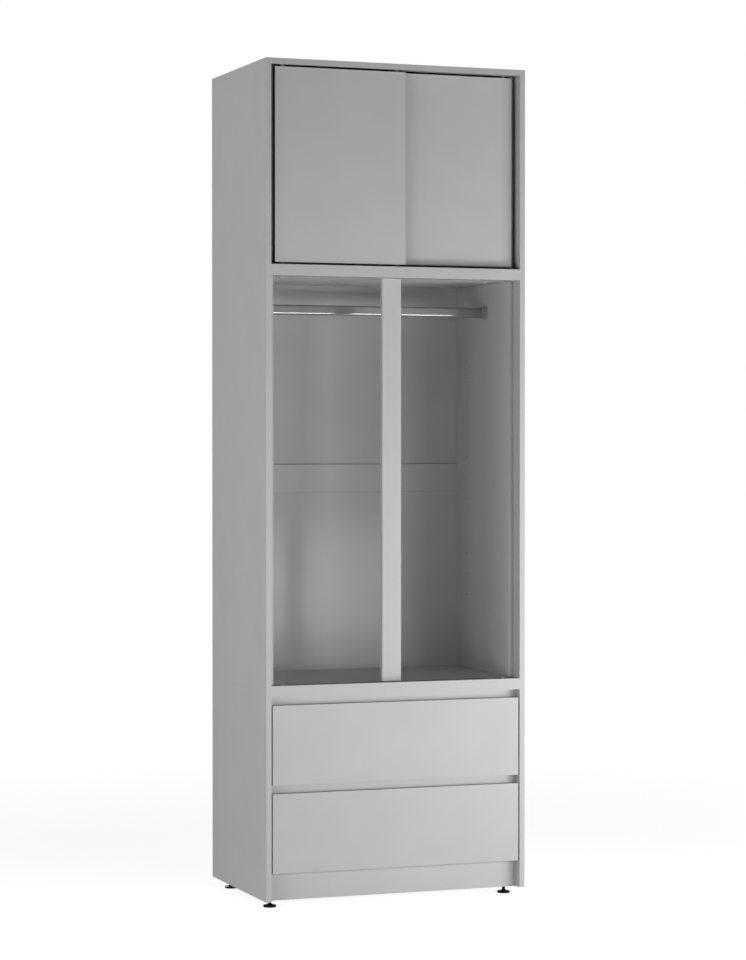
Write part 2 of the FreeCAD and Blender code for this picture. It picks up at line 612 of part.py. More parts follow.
for end_name, end_sign in (("front", -1), ("rear", 1)):
    for side_name, side_sign in (("left", -1), ("right", 1)):
        foot_x = f"({side_sign} * {FOOT_X})"
        foot_y = f"({end_sign} * {FOOT_Y})"
        foot = new_body(f"{end_name}_{side_name}_foot", foot_x, foot_y, "0")
        profile = new_sketch(foot, "XZ_Plane", "0")
        draw_foot_profile(profile)
        turning = foot.newObject("PartDesign::Revolution", f"{foot.Label}_turning")
        turning.Profile = profile
        turning.ReferenceAxis = (profile, ["V_Axis"])
        turning.Angle = 360
        foot.Tip = turning
        sub_parts.append(foot)
        bracket_width = "(Sizes.foot_side - Sizes.board + Sizes.stem_radius + Sizes.bracket_wall)"
        bracket_x = LEFT_INNER if side_sign < 0 else less(RIGHT_INNER, bracket_width)
        bracket_floor = add(BASE_FLOOR, "Sizes.bracket_lift")
        bracket_tag = f"{foot.Label}_bracket"
        blank = block(f"{bracket_tag}_blank", bracket_width, "Sizes.bracket_depth", "Sizes.bracket_height",
                      bracket_x, add(foot_y, "-Sizes.bracket_depth / 2"), bracket_floor)
        bore = rod_along(f"{bracket_tag}_bore", "(Sizes.stem_radius + Sizes.stem_play)", "Sizes.bracket_height",
                         foot_x, foot_y, bracket_floor, ALONG_Z)
        brackets.append(cut(bracket_tag, blank, bore))
sub_parts.append(group("foot_brackets", brackets))


# Hanging bay.

BAY_TOP = add(BAY_FLOOR, "Sizes.bay_height", "-Sizes.board")
BAY_CLEAR_FLOOR = add(BAY_FLOOR, "Sizes.board")
BAY_CLEAR_HEIGHT = less("Sizes.bay_height", "2 * Sizes.board")
BAY_LEVELS = (half("Sizes.board"), "(Sizes.bay_height - Sizes.board / 2)")

side_board("bay_left_side", "Sizes.bay_height", BAY_FLOOR, True, BAY_LEVELS, pin_holes=True)
side_board("bay_right_side", "Sizes.bay_height", BAY_FLOOR, False, BAY_LEVELS, pin_holes=True)
shelf_board("bay_bottom", BAY_FLOOR, False, back_slot_on_top=True, track_on_top=True, links=True)
shelf_board("bay_top", BAY_TOP, True, back_slot_on_top=False, track_on_top=False, links=True)
side_strips("bay", BAY_FLOOR, "Sizes.bay_height")
door_tracks("bay_lower_tracks", BAY_CLEAR_FLOOR, True)
door_tracks("bay_upper_tracks", BAY_TOP, False)

RAIL_FLOOR = f"({BAY_FLOOR} + Sizes.bay_height / 2 - Sizes.rail_height / 2)"
RAIL_FACE = f"({BACK_FACE} + Sizes.back_board / 2 - Sizes.board / 2)"
back_rail = board("bay_back_rail", "XZ_Plane", INNER_WIDTH, "Sizes.rail_height", "Sizes.board",
                  LEFT_INNER, add(FRONT, RAIL_FACE), RAIL_FLOOR)
rail_slot = [("0", less(BACK_SLOT_EDGE, RAIL_FACE), INNER_WIDTH, BACK_SLOT)]
groove(back_rail, "XY_Plane", "0", rail_slot, "Sizes.back_groove", True)
groove(back_rail, "XY_Plane", "Sizes.rail_height", rail_slot, "Sizes.back_groove", False)
sub_parts.append(back_rail)
back_panel("bay_lower_back", BAY_CLEAR_FLOOR, RAIL_FLOOR)
back_panel("bay_upper_back", add(RAIL_FLOOR, "Sizes.rail_height"), BAY_TOP)

post = board("bay_post", "XZ_Plane", "Sizes.post_width", BAY_CLEAR_HEIGHT, "Sizes.post_board",
             "(-Sizes.post_width / 2)", add(FRONT, RIGHT_STRIP), BAY_CLEAR_FLOOR)
sub_parts.append(post)

stops = []
for level_name, stop_floor in (
    ("lower", less(BAY_CLEAR_FLOOR, TRACK_BED)),
    ("upper", less(BAY_TOP, "Sizes.stop_height")),
):
    for side_name, middle in (("left", TRACK_MIDDLES[0]), ("right", TRACK_MIDDLES[1])):
        left_x = add(LEFT_INNER, "Sizes.stop_inset")
        right_x = less(RIGHT_INNER, "Sizes.stop_inset", "Sizes.stop_length")
        stops.append(block(f"{level_name}_{side_name}_stop", "Sizes.stop_length", SLOT_WIDTH,
                           add("Sizes.stop_height", TRACK_BED),
                           left_x if side_name == "left" else right_x,
                           add(FRONT, middle, f"-{SLOT_WIDTH} / 2"), stop_floor))
sub_parts.append(group("bay_track_stops", stops))


# Hanging rod: an oval tube whose ends sit in two cups on the side boards.

ROD_X = add(LEFT_INNER, "Sizes.socket_plate", "Sizes.socket_play")
ROD_LENGTH = less(INNER_WIDTH, "2 * Sizes.socket_plate", "2 * Sizes.socket_play")
ROD_Y = add(FRONT, "Sizes.rod_setback")
ROD_Z = less(BAY_TOP, "Sizes.rod_drop")


def draw_oval(sketch, width, height):
    radius = value_of(width) / 2
    reach = value_of(height) / 2 - radius
    up, side, out = FreeCAD.Vector(0, 1, 0), FreeCAD.Vector(1, 0, 0), FreeCAD.Vector(0, 0, 1)
    first = sketch.GeometryCount
    quarter = 1.5707963267948966
    top_circle = Part.Circle(up * reach, out, radius)
    low_circle = Part.Circle(up * -reach, out, radius)
    sketch.addGeometry(Part.ArcOfCircle(top_circle, 0, 2 * quarter), False)
    sketch.addGeometry(Part.LineSegment(up * reach - side * radius, up * -reach - side * radius), False)
    sketch.addGeometry(Part.ArcOfCircle(low_circle, 2 * quarter, 4 * quarter), False)
    sketch.addGeometry(Part.LineSegment(up * -reach + side * radius, up * reach + side * radius), False)
    for index in range(4):
        follower = first + (index + 1) % 4
        sketch.addConstraint(Sketcher.Constraint("Tangent", first + index, 2, follower, 1))
    sketch.addConstraint(Sketcher.Constraint("PointOnObject", first, 3, -2))
    sketch.addConstraint(Sketcher.Constraint("Symmetric", first, 3, first + 2, 3, -1, 1))
    sketch.addConstraint(Sketcher.Constraint("Equal", first, first + 2))
    bind(sketch, Sketcher.Constraint("Radius", first, radius), half(width))
    bind(sketch, Sketcher.Constraint("DistanceY", first + 2, 3, first, 3, 2 * reach), less(height, width))


def oval_pad(body, level, width, height, length):
    sketch = new_sketch(body, "YZ_Plane", level)
    draw_oval(sketch, width, height)
    return pad(body, sketch, length)


def oval_pocket(body, level, width, height, depth):
    sketch = new_sketch(body, "YZ_Plane", level)
    draw_oval(sketch, width, height)
    return pocket(body, sketch, depth, True)


rod = new_body("hanging_rod", ROD_X, ROD_Y, ROD_Z)
oval_pad(rod, "0", "Sizes.rod_width", "Sizes.rod_height", ROD_LENGTH)
oval_pocket(rod, "0", less("Sizes.rod_width", "2 * Sizes.rod_wall"),
            less("Sizes.rod_height", "2 * Sizes.rod_wall"), ROD_LENGTH)
sub_parts.append(rod)

CUP_GROWTH = "2 * (Sizes.socket_play + Sizes.socket_rim)"
PLATE_GROWTH = f"({CUP_GROWTH} + 2 * Sizes.socket_flange)"
MOUTH_GROWTH = "2 * Sizes.socket_play"
CUP_DEPTH = less("Sizes.socket_reach", "Sizes.socket_plate")

for side_name, socket_x, plate_level, cup_level in (
    ("left", LEFT_INNER, "0", "Sizes.socket_plate"),
    ("right", less(RIGHT_INNER, "Sizes.socket_reach"), CUP_DEPTH, "0"),
):
    socket = new_body(f"{side_name}_rod_socket", socket_x, ROD_Y, ROD_Z)
    oval_pad(socket, plate_level, add("Sizes.rod_width", PLATE_GROWTH), add("Sizes.rod_height", PLATE_GROWTH),
             "Sizes.socket_plate")
    oval_pad(socket, cup_level, add("Sizes.rod_width", CUP_GROWTH), add("Sizes.rod_height", CUP_GROWTH), CUP_DEPTH)
    oval_pocket(socket, cup_level, add("Sizes.rod_width", MOUTH_GROWTH), add("Sizes.rod_height", MOUTH_GROWTH),
                CUP_DEPTH)
    sub_parts.append(socket)


# Loft box with two sliding doors.

LOFT_TOP = add(LOFT_FLOOR, "Sizes.loft_height", "-Sizes.board")
LOFT_CLEAR_FLOOR = add(LOFT_FLOOR, "Sizes.board")
LOFT_LEVELS = (half("Sizes.board"), "(Sizes.loft_height - Sizes.board / 2)")

side_board("loft_left_side", "Sizes.loft_height", LOFT_FLOOR, True, LOFT_LEVELS)
side_board("loft_right_side", "Sizes.loft_height", LOFT_FLOOR, False, LOFT_LEVELS)
shelf_board("loft_bottom", LOFT_FLOOR, False, back_slot_on_top=True, track_on_top=True, links=True)
shelf_board("loft_top", LOFT_TOP, True, back_slot_on_top=False, track_on_top=False)
back_panel("loft_back", LOFT_CLEAR_FLOOR, LOFT_TOP)
side_strips("loft", LOFT_FLOOR, "Sizes.loft_height")
door_tracks("loft_lower_tracks", LOFT_CLEAR_FLOOR, True)
door_tracks("loft_upper_tracks", LOFT_TOP, False)
module_bolts("lower_link", BAY_FLOOR)
module_bolts("upper_link", LOFT_FLOOR)

DOOR_WIDTH = f"(({INNER_WIDTH} - 2 * Sizes.door_side_gap + Sizes.door_overlap) / 2)"
DOOR_HEIGHT = less("Sizes.loft_height", "2 * Sizes.board", "2 * Sizes.door_gap")
DOOR_FLOOR = add(LOFT_CLEAR_FLOOR, "Sizes.door_gap")
GLIDE_EDGE = half(less("Sizes.door_board", "Sizes.glide_block"))
FAR_GLIDE = less(DOOR_WIDTH, "Sizes.glide_inset", "Sizes.glide_length")
FIN_DEPTH = f"({TRACK_BED} - Sizes.glide_play)"


def sliding_door(name, x, setback):
    door = board(f"{name}_door", "XZ_Plane", DOOR_WIDTH, DOOR_HEIGHT, "Sizes.door_board",
                 x, add(FRONT, setback), DOOR_FLOOR)
    mortises = [(glide_x, GLIDE_EDGE, "Sizes.glide_length", "Sizes.glide_block")
                for glide_x in ("Sizes.glide_inset", FAR_GLIDE)]
    groove(door, "XY_Plane", "0", mortises, "Sizes.glide_depth", True)
    groove(door, "XY_Plane", DOOR_HEIGHT, mortises, "Sizes.glide_depth", False)
    sub_parts.append(door)
    glides = []
    fin_y = add(FRONT, setback, half("Sizes.door_board"), f"-{FIN_WIDTH} / 2")
    shoe_y = add(FRONT, setback, GLIDE_EDGE, "Sizes.glide_fit")
    shoe_length = less("Sizes.glide_length", "2 * Sizes.glide_fit")
    shoe_width = less("Sizes.glide_block", "2 * Sizes.glide_fit")
    shoe_height = less("Sizes.glide_depth", "Sizes.glide_fit")
    fin_height = add("Sizes.door_gap", FIN_DEPTH)
    door_top = add(DOOR_FLOOR, DOOR_HEIGHT)
    for end_name, glide_x in (("left", "Sizes.glide_inset"), ("right", FAR_GLIDE)):
        for level_name, shoe_floor, fin_floor in (
            ("lower", DOOR_FLOOR, less(DOOR_FLOOR, fin_height)),
            ("upper", less(door_top, shoe_height), door_top),
        ):
            tag = f"{name}_{level_name}_{end_name}_glide"
            shoe_x = add(x, glide_x, "Sizes.glide_fit")
            shoe = block(f"{tag}_shoe", shoe_length, shoe_width, shoe_height, shoe_x, shoe_y, shoe_floor)
            fin = block(f"{tag}_fin", shoe_length, FIN_WIDTH, fin_height, shoe_x, fin_y, fin_floor)
            glides.append(fuse(tag, [shoe, fin]))
    sub_parts.append(group(f"{name}_door_glides", glides))


sliding_door("left", add(LEFT_INNER, "Sizes.door_side_gap"), "Sizes.door_setback")
sliding_door("right", less(RIGHT_INNER, "Sizes.door_side_gap", DOOR_WIDTH), REAR_DOOR)

sub_parts.append(group("cam_locks", cam_solids))
sub_parts.append(group("module_bolts", link_solids))


# Recompute, test every object and write each sub-part to its own file.

doc.recompute()
for item in doc.Objects:
    faults = [state for state in item.State if state in ("Invalid", "Error")]
    if faults:
        raise RuntimeError(f"{item.Label} did not build: {faults}")
    if item.TypeId == "PartDesign::Pocket" and item.Shape.Volume >= item.BaseFeature.Shape.Volume:
        raise RuntimeError(f"{item.Label} cuts nothing")

os.makedirs("parts", exist_ok=True)
for item in sub_parts:
    if item.Shape.isNull() or not item.Shape.isValid():
        raise RuntimeError(f"{item.Label} has no valid shape")
    item.Shape.exportStep(f"parts/{item.Label}.step")
print(f"{len(sub_parts)} sub-parts written")
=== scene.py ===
import json
import math

import bmesh
import bpy
from bpy.props import FloatProperty, FloatVectorProperty, IntProperty, PointerProperty
from bpy.types import Operator, Panel, PropertyGroup
from mathutils import Matrix, Vector


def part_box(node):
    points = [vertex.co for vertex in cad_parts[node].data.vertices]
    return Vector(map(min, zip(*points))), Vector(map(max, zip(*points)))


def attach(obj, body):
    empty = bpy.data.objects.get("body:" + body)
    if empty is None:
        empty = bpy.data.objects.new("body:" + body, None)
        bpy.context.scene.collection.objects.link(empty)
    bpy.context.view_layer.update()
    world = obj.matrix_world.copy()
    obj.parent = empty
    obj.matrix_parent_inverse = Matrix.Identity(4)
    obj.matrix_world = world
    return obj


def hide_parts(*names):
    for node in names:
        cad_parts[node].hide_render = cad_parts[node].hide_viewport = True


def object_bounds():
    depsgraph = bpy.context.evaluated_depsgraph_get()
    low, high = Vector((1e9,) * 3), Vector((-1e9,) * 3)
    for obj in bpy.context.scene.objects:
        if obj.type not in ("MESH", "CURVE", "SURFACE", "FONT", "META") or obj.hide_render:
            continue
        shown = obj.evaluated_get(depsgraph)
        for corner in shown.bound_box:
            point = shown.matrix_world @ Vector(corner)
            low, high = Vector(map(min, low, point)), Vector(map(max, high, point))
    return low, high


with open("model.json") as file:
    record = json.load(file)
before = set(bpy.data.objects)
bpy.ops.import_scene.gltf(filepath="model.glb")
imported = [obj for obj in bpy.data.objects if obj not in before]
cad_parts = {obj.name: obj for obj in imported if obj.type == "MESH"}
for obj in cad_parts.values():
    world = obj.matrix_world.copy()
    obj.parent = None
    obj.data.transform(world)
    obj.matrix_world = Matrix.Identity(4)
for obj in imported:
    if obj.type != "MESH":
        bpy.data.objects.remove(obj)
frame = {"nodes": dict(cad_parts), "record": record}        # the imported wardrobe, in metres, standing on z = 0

bl_info = {
    "name": "Grey Board Wardrobe",
    "version": (1, 0, 0),
    "blender": (4, 5, 0),
    "location": "3D View > Sidebar > Wardrobe",
    "description": "Finishes, small fittings and a studio stage for a tall grey board wardrobe",
    "category": "Object",
}

CAD_LOW, CAD_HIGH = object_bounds()
BRACKET_WALL = 0.010     # foot bracket past the stem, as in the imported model
SLOT_OF_NODE = {part["node"]: part["material_slot"] for part in frame["record"]["subparts"]}


def nodes_of_slots(*slots):
    """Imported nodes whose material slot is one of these."""
    return [node for node in frame["nodes"] if SLOT_OF_NODE[node] in slots]


# Sizes and colours that a user may change.

def colour_value(name, description, value):
    return FloatVectorProperty(name=name, description=description, subtype="COLOR", size=3,
                               min=0, max=1, default=value)


def length_value(name, description, value):
    return FloatProperty(name=name, description=description, unit="LENGTH", default=value)


class WardrobeFinishes(PropertyGroup):
    board_colour: colour_value("Board colour", "Light grey melamine of the boards", (0.50, 0.50, 0.50))
    door_edge_colour: colour_value(
        "Door edge colour", "Black bands on the narrow faces of the sliding doors", (0.004, 0.004, 0.004))
    # Painted shade: the core colour is far darker than real chipboard, to stand in for the shade inside holes
    # and grooves.
    core_and_hole_shade_colour: colour_value(
        "Core colour", "Chipboard inside grooves and drilled holes", (0.060, 0.045, 0.033))
    hardboard_colour: colour_value(
        "Hardboard colour", "Raw reverse side of the thin panels", (0.24, 0.14, 0.075))
    rod_colour: colour_value("Rod colour", "Satin plate of the hanging rod", (0.25, 0.25, 0.25))
    socket_colour: colour_value("Socket colour", "Satin plate of the rod's sockets", (0.35, 0.35, 0.35))
    steel_colour: colour_value("Steel colour", "Zinc plate of runners and fasteners", (0.55, 0.56, 0.57))
    # Painted shade: the tracks' dark plastic is made near black to stand in for the shade in the door gaps.
    track_and_gap_shade_colour: colour_value("Track colour", "Dark plastic of the door tracks", (0.004, 0.004, 0.004))
    glide_colour: colour_value(
        "Glide colour", "Pale plastic of the door glides and track stops", (0.30, 0.30, 0.30))
    foot_colour: colour_value("Foot colour", "Black plastic of the feet", (0.006, 0.006, 0.006))
    # Painted shadow: the dark lines at the back rail are partly the joint gaps and partly the rail's shadow on
    # the panels; the upper one is widened for the shadow cast above the rail.
    upper_joint_shadow: length_value("Upper joint", "Half width of the dark line above the back rail", 0.0010)
    lower_joint_shadow: length_value("Lower joint", "Half width of the dark line below the back rail", 0.0004)
    edge_band: length_value("Edge band", "Thickness of the band glued on the board edges", 0.001)
    edge_round: length_value("Edge round", "Radius of the broken board edges", 0.0006)


class WardrobeFittings(PropertyGroup):
    foot_flutes: IntProperty(
        name="Foot flutes", description="Grip flutes around a foot pad", default=24, min=6)
    pad_thickness: length_value("Pad thickness", "Thickness of a foot pad", 0.006)
    collar_radius: length_value("Collar radius", "Radius of the foot's collar on its pad", 0.009)
    collar_height: length_value("Collar height", "Height of the foot's collar", 0.005)
    stem_radius: length_value("Stem radius", "Outer radius of the foot's thread", 0.005)
    thread_pitch: length_value("Thread pitch", "Step of the foot's thread", 0.0015)
    thread_depth: length_value("Thread depth", "Depth of the foot's thread", 0.0007)
    cam_radius: length_value("Cam radius", "Radius of a cam's cross-slotted face", 0.0073)
    cam_height: length_value("Cam height", "Height of a cam's face on its board", 0.0005)
    cam_inset: length_value("Cam inset", "End of a board to the middle of a cam", 0.034)
    cam_end: length_value("Cam end", "Front or rear of the wardrobe to a cam", 0.070)
    cap_radius: length_value("Cap radius", "Radius of the cover cap on a box bolt", 0.0078)
    cap_height: length_value("Cap height", "Height of the cover cap on a box bolt", 0.0018)
    bolt_side: length_value("Bolt side", "Side of the wardrobe to a box bolt", 0.080)
    bolt_end: length_value("Bolt end", "Front or rear of the wardrobe to a box bolt", 0.110)
    screw_radius: length_value("Screw radius", "Head radius of the small screws", 0.0038)
    screw_height: length_value("Screw height", "Head height of the small screws", 0.0013)


class WardrobeStage(PropertyGroup):
    camera_place: FloatVectorProperty(
        name="Camera place", description="Where the camera stands",
        subtype="XYZ", unit="LENGTH", size=3, default=(-2.8987, -7.8032, 1.3402))
    camera_yaw: FloatProperty(
        name="Camera yaw", description="Turn of the camera to the right of straight back",
        subtype="ANGLE", default=math.radians(20.509))
    camera_pitch: FloatProperty(
        name="Camera pitch", description="Tilt of the camera above the horizon",
        subtype="ANGLE", default=math.radians(-0.813))
    camera_lens: FloatProperty(
        name="Camera lens", description="Focal length on a 36 mm sensor, in millimetres", default=104.99)
    ambient: FloatProperty(
        name="Ambient", description="Strength of the even light from all around", default=0.0)
    light_level: FloatProperty(
        name="Light level", description="Factor on the power of all lamps", default=1.0, min=0)
    floor_size: FloatProperty(
        name="Floor size", description="Side of the square floor", unit="LENGTH", default=120)


# Node helpers.

def new_material(name):
    material = bpy.data.materials.new(name)
    material.use_nodes = True
    tree = material.node_tree
    return material, tree, tree.nodes["Principled BSDF"]


def add_node(tree, kind, settings=None, **inputs):
    """Add a node and fill its inputs: i0, i1 and so on by number, other words by name."""
    node = tree.nodes.new(kind)
    for key, value in (settings or {}).items():
        setattr(node, key, value)
    for key, value in inputs.items():
        socket = node.inputs[int(key[1:])] if key[0] == "i" and key[1:].isdigit() else node.inputs[key]
        if isinstance(value, bpy.types.NodeSocket):
            tree.links.new(value, socket)
        else:
            socket.default_value = value
    return node


def math_node(tree, operation, first, second=0.0):
    return add_node(tree, "ShaderNodeMath", {"operation": operation}, i0=first, i1=second).outputs[0]


def object_place(tree):
    return add_node(tree, "ShaderNodeTexCoord").outputs["Object"]


def noise(tree, place, scale, detail=2.0, roughness=0.5):
    node = add_node(tree, "ShaderNodeTexNoise", None,
                    Vector=place, Scale=scale, Detail=detail, Roughness=roughness)
    return node.outputs["Fac"]


def ranged(tree, value, low=0.0, high=1.0, from_low=0.3, from_high=0.7):
    """A value stretched from one range to another and held at its ends; noise lies within 0.3 to 0.7."""
    node = add_node(tree, "ShaderNodeMapRange", {"clamp": True},
                    i0=value, i1=from_low, i2=from_high, i3=low, i4=high)
    return node.outputs[0]


def chosen(tree, switch, off, on):
    """One number where the switch is zero, and another where it is one."""
    return ranged(tree, switch, off, on, 0.0, 1.0)


def mixed(tree, factor, first, second):
    """The first colour where the factor is zero, and the second where it is one."""
    node = add_node(tree, "ShaderNodeMix", {"data_type": "RGBA"}, i0=factor, i6=first, i7=second)
    return node.outputs[2]


def rgba(colour, level=1.0):
    return tuple(channel * level for channel in colour) + (1.0,)


def shaded(tree, colour, value, low, high):
    """A colour whose level goes from low to high with a value."""
    return mixed(tree, value, rgba(colour, low), rgba(colour, high))


def bumped(tree, shader, height, strength, distance):
    bump = add_node(tree, "ShaderNodeBump", None, Strength=strength, Distance=distance, Height=height)
    tree.links.new(bump.outputs["Normal"], shader.inputs["Normal"])


def set_shader(tree, shader, **values):
    for key, value in values.items():
        socket = shader.inputs[key.replace("_", " ")]
        if isinstance(value, bpy.types.NodeSocket):
            tree.links.new(value, socket)
        else:
            socket.default_value = value


def dress(node, material):
    """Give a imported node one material."""
    slots = frame["nodes"][node].data.materials
    slots.clear()
    slots.append(material)


# Finishes.

# Scales of the noise patterns, per metre.
CLOUD_SCALE = 9.0
GRAIN_SCALE = 520.0
PEARL_SCALE = 1500.0
CHIP_SCALE = 380.0
PANEL_CLOUD_SCALE = 6.0
FIBRE_SCALE = 260.0
MESH_MARK_SCALE = 900.0
DRAWN_LINE_SCALE = 900.0
STAIN_SCALE = 30.0
SKIN_SCALE = 2200.0
FLOW_SCALE = 40.0
# Levels of a colour, from dark to light spots of its pattern.
CLOUD_SHADES = (0.975, 1.025)
CHIP_SHADES = (0.55, 1.35)
PANEL_SHADES = (0.94, 1.0)
FIBRE_SHADES = (0.75, 1.25)
STAIN_SHADES = (0.94, 1.04)
FLOW_SHADES = (0.85, 1.15)
# Levels of the board colour in grain, band seams and joint lines (joint gaps with painted shadow of the back
# rail), and how strongly grain and seams show.
GRAIN_SHADE = 0.94
SEAM_SHADE = 0.35
JOINT_SHADOW_LEVEL = 0.1
GRAIN_STRENGTH = 0.5
SEAM_STRENGTH = 0.3
# Reflection levels.
PLAIN_GLOSS = 0.5
BACK_RAIL_GLOSS = 0.08
DOOR_BAND_GLOSS = 0.02
PANEL_GLOSS = 0.06
TRACK_GLOSS = 0.02
FOOT_GLOSS = 0.12
# Roughness.
BOARD_ROUGHNESS = (0.44, 0.54)
PANEL_ROUGHNESS = 0.12
RAW_ROUGHNESS = 0.8
ROD_ROUGHNESS = 0.10
SOCKET_ROUGHNESS = 0.35
RUNNER_ROUGHNESS = 0.35
CAM_ROUGHNESS = 0.35
FASTENER_ROUGHNESS = 0.30
SCREW_ROUGHNESS = 0.28
PLASTIC_ROUGHNESS = 0.5
GLIDE_ROUGHNESS = 0.4
SATIN_METALLIC = 0.1
# Layers and relief on a surface, in metres; a fade begins and ends at its two depths.
SEAM_WIDTH = 0.00025
BAND_FADE = (0.0002, 0.0005)
CORE_AND_SHADE_FADE = (0.0003, 0.0005)
BOARD_RELIEF = 0.0002
SKIN_RELIEF = 0.0001
# How strongly the relief shows.
BOARD_BUMP = 0.12
PANEL_BUMP = 0.004
RAW_BUMP = 0.1
PLATE_BUMP = 0.04
ROD_BUMP = 0.005
PLASTIC_BUMP = 0.15
# Edges of the boards.
WELD_DISTANCE = 0.00001
BROKEN_ANGLE = math.radians(40)
# Drawn lines of plated metal run along the axis with the small factor.
EVEN = (1.0, 1.0, 1.0)
ALONG_X = (0.02, 1.0, 1.0)
ALONG_Y = (1.0, 0.03, 1.0)


def edge_distance(tree, place, low, high, skip=(0.0, 0.0, 0.0)):
    """Distance to the nearest of the six planes of a board's box, with skip added on axes to leave out."""
    def vector_math(operation, first, second):
        settings = {"operation": operation}
        return add_node(tree, "ShaderNodeVectorMath", settings, i0=first, i1=second).outputs[0]
    from_low = vector_math("SUBTRACT", place, low)
    from_high = vector_math("SUBTRACT", high, place)
    nearest = vector_math("MINIMUM", from_low, from_high)
    parts = add_node(tree, "ShaderNodeSeparateXYZ", None, Vector=vector_math("ADD", nearest, skip)).outputs
    return math_node(tree, "MINIMUM", math_node(tree, "MINIMUM", parts[0], parts[1]), parts[2])


def melamine(name, low, high, finishes, band_colour=None, gloss=PLAIN_GLOSS):
    """Grey melamine on a board's box, with edge bands of the same grey or of another colour."""
    material, tree, shader = new_material(name)
    place = object_place(tree)
    clouds = noise(tree, place, CLOUD_SCALE, 3.0)
    grain = noise(tree, place, GRAIN_SCALE)
    pearl = noise(tree, place, PEARL_SCALE, 1.0)
    colour = shaded(tree, finishes.board_colour, ranged(tree, clouds), *CLOUD_SHADES)
    on_grain = ranged(tree, grain, 0.0, GRAIN_STRENGTH)
    colour = mixed(tree, on_grain, colour, rgba(finishes.board_colour, GRAIN_SHADE))
    size = high - low
    thin = min(range(3), key=lambda axis: size[axis])
    skip = [0.0, 0.0, 0.0]
    skip[thin] = 1.0
    to_edge = edge_distance(tree, place, low, high, skip)
    seam = math_node(tree, "ABSOLUTE", math_node(tree, "SUBTRACT", to_edge, finishes.edge_band))
    on_seam = ranged(tree, seam, SEAM_STRENGTH, 0.0, 0.0, SEAM_WIDTH)
    colour = mixed(tree, on_seam, colour, rgba(finishes.board_colour, SEAM_SHADE))
    if band_colour is not None:
        on_band = ranged(tree, to_edge, 1.0, 0.0, *BAND_FADE)
        colour = mixed(tree, on_band, colour, rgba(band_colour))
        gloss = chosen(tree, on_band, gloss, DOOR_BAND_GLOSS)
    # Painted shade: in holes and grooves, inside the board's box, the dark chipboard colour stands for both the
    # core and the shade in there.
    depth = edge_distance(tree, place, low, high)
    in_core_shade = ranged(tree, depth, 0.0, 1.0, *CORE_AND_SHADE_FADE)
    chips = noise(tree, place, CHIP_SCALE, 4.0, 0.7)
    chip_and_hole_shade_colour = shaded(tree, finishes.core_and_hole_shade_colour, ranged(tree, chips), *CHIP_SHADES)
    colour = mixed(tree, in_core_shade, colour, chip_and_hole_shade_colour)
    set_shader(tree, shader, Base_Color=colour, Roughness=ranged(tree, grain, *BOARD_ROUGHNESS),
               Specular_IOR_Level=gloss)
    bumped(tree, shader, math_node(tree, "ADD", pearl, clouds), BOARD_BUMP, BOARD_RELIEF)
    return material


def thin_panel(name, axis, middle, raw_above, joints, finishes):
    """Hardboard with a grey face, a raw reverse side and dark joint lines, which also carry painted shadow of
    the back rail; each joint is a height and a half width.
    """
    material, tree, shader = new_material(name)
    place = object_place(tree)
    parts = add_node(tree, "ShaderNodeSeparateXYZ", None, Vector=place).outputs
    clouds = noise(tree, place, PANEL_CLOUD_SCALE, 3.0)
    face = shaded(tree, finishes.board_colour, ranged(tree, clouds), *PANEL_SHADES)
    for joint, width in joints:
        # Painted shadow: each joint line is the dark gap at the rail, widened into the rail's contact shadow.
        off_joint = math_node(tree, "ABSOLUTE", math_node(tree, "SUBTRACT", parts[2], joint))
        on_joint_shadow = ranged(tree, off_joint, 1.0, 0.0, width, width * 1.5)
        face = mixed(tree, on_joint_shadow, face, rgba(finishes.board_colour, JOINT_SHADOW_LEVEL))
    fibres = noise(tree, place, FIBRE_SCALE, 6.0, 0.65)
    raw = shaded(tree, finishes.hardboard_colour, ranged(tree, fibres), *FIBRE_SHADES)
    is_raw = math_node(tree, "GREATER_THAN" if raw_above else "LESS_THAN", parts[axis], middle)
    set_shader(tree, shader, Base_Color=mixed(tree, is_raw, face, raw), Specular_IOR_Level=PANEL_GLOSS,
               Roughness=chosen(tree, is_raw, PANEL_ROUGHNESS, RAW_ROUGHNESS))
    mesh_marks = noise(tree, place, MESH_MARK_SCALE, 1.0)
    bumped(tree, shader, mesh_marks, chosen(tree, is_raw, PANEL_BUMP, RAW_BUMP), BOARD_RELIEF)
    return material


def plated(name, colour, roughness, stretch, metallic=1.0, bump=PLATE_BUMP):
    """Plated metal with fine drawn lines along the axis that stretch squeezes."""
    material, tree, shader = new_material(name)
    place = add_node(tree, "ShaderNodeMapping", None, Vector=object_place(tree), Scale=stretch).outputs[0]
    lines = noise(tree, place, DRAWN_LINE_SCALE, 3.0)
    stains = noise(tree, object_place(tree), STAIN_SCALE)
    set_shader(tree, shader, Metallic=metallic,
               Base_Color=shaded(tree, colour, ranged(tree, stains), *STAIN_SHADES),
               Roughness=ranged(tree, lines, roughness * 0.8, roughness * 1.25))
    bumped(tree, shader, lines, bump, SKIN_RELIEF)
    return material


def moulded(name, colour, roughness, gloss=PLAIN_GLOSS):
    """Moulded plastic with a fine spark-eroded skin."""
    material, tree, shader = new_material(name)
    place = object_place(tree)
    skin = noise(tree, place, SKIN_SCALE)
    flow = noise(tree, place, FLOW_SCALE)
    set_shader(tree, shader,
               Base_Color=shaded(tree, colour, ranged(tree, flow), *FLOW_SHADES),
               Roughness=ranged(tree, skin, roughness * 0.85, roughness * 1.15),
               Specular_IOR_Level=gloss)
    bumped(tree, shader, skin, PLASTIC_BUMP, SKIN_RELIEF)
    return material


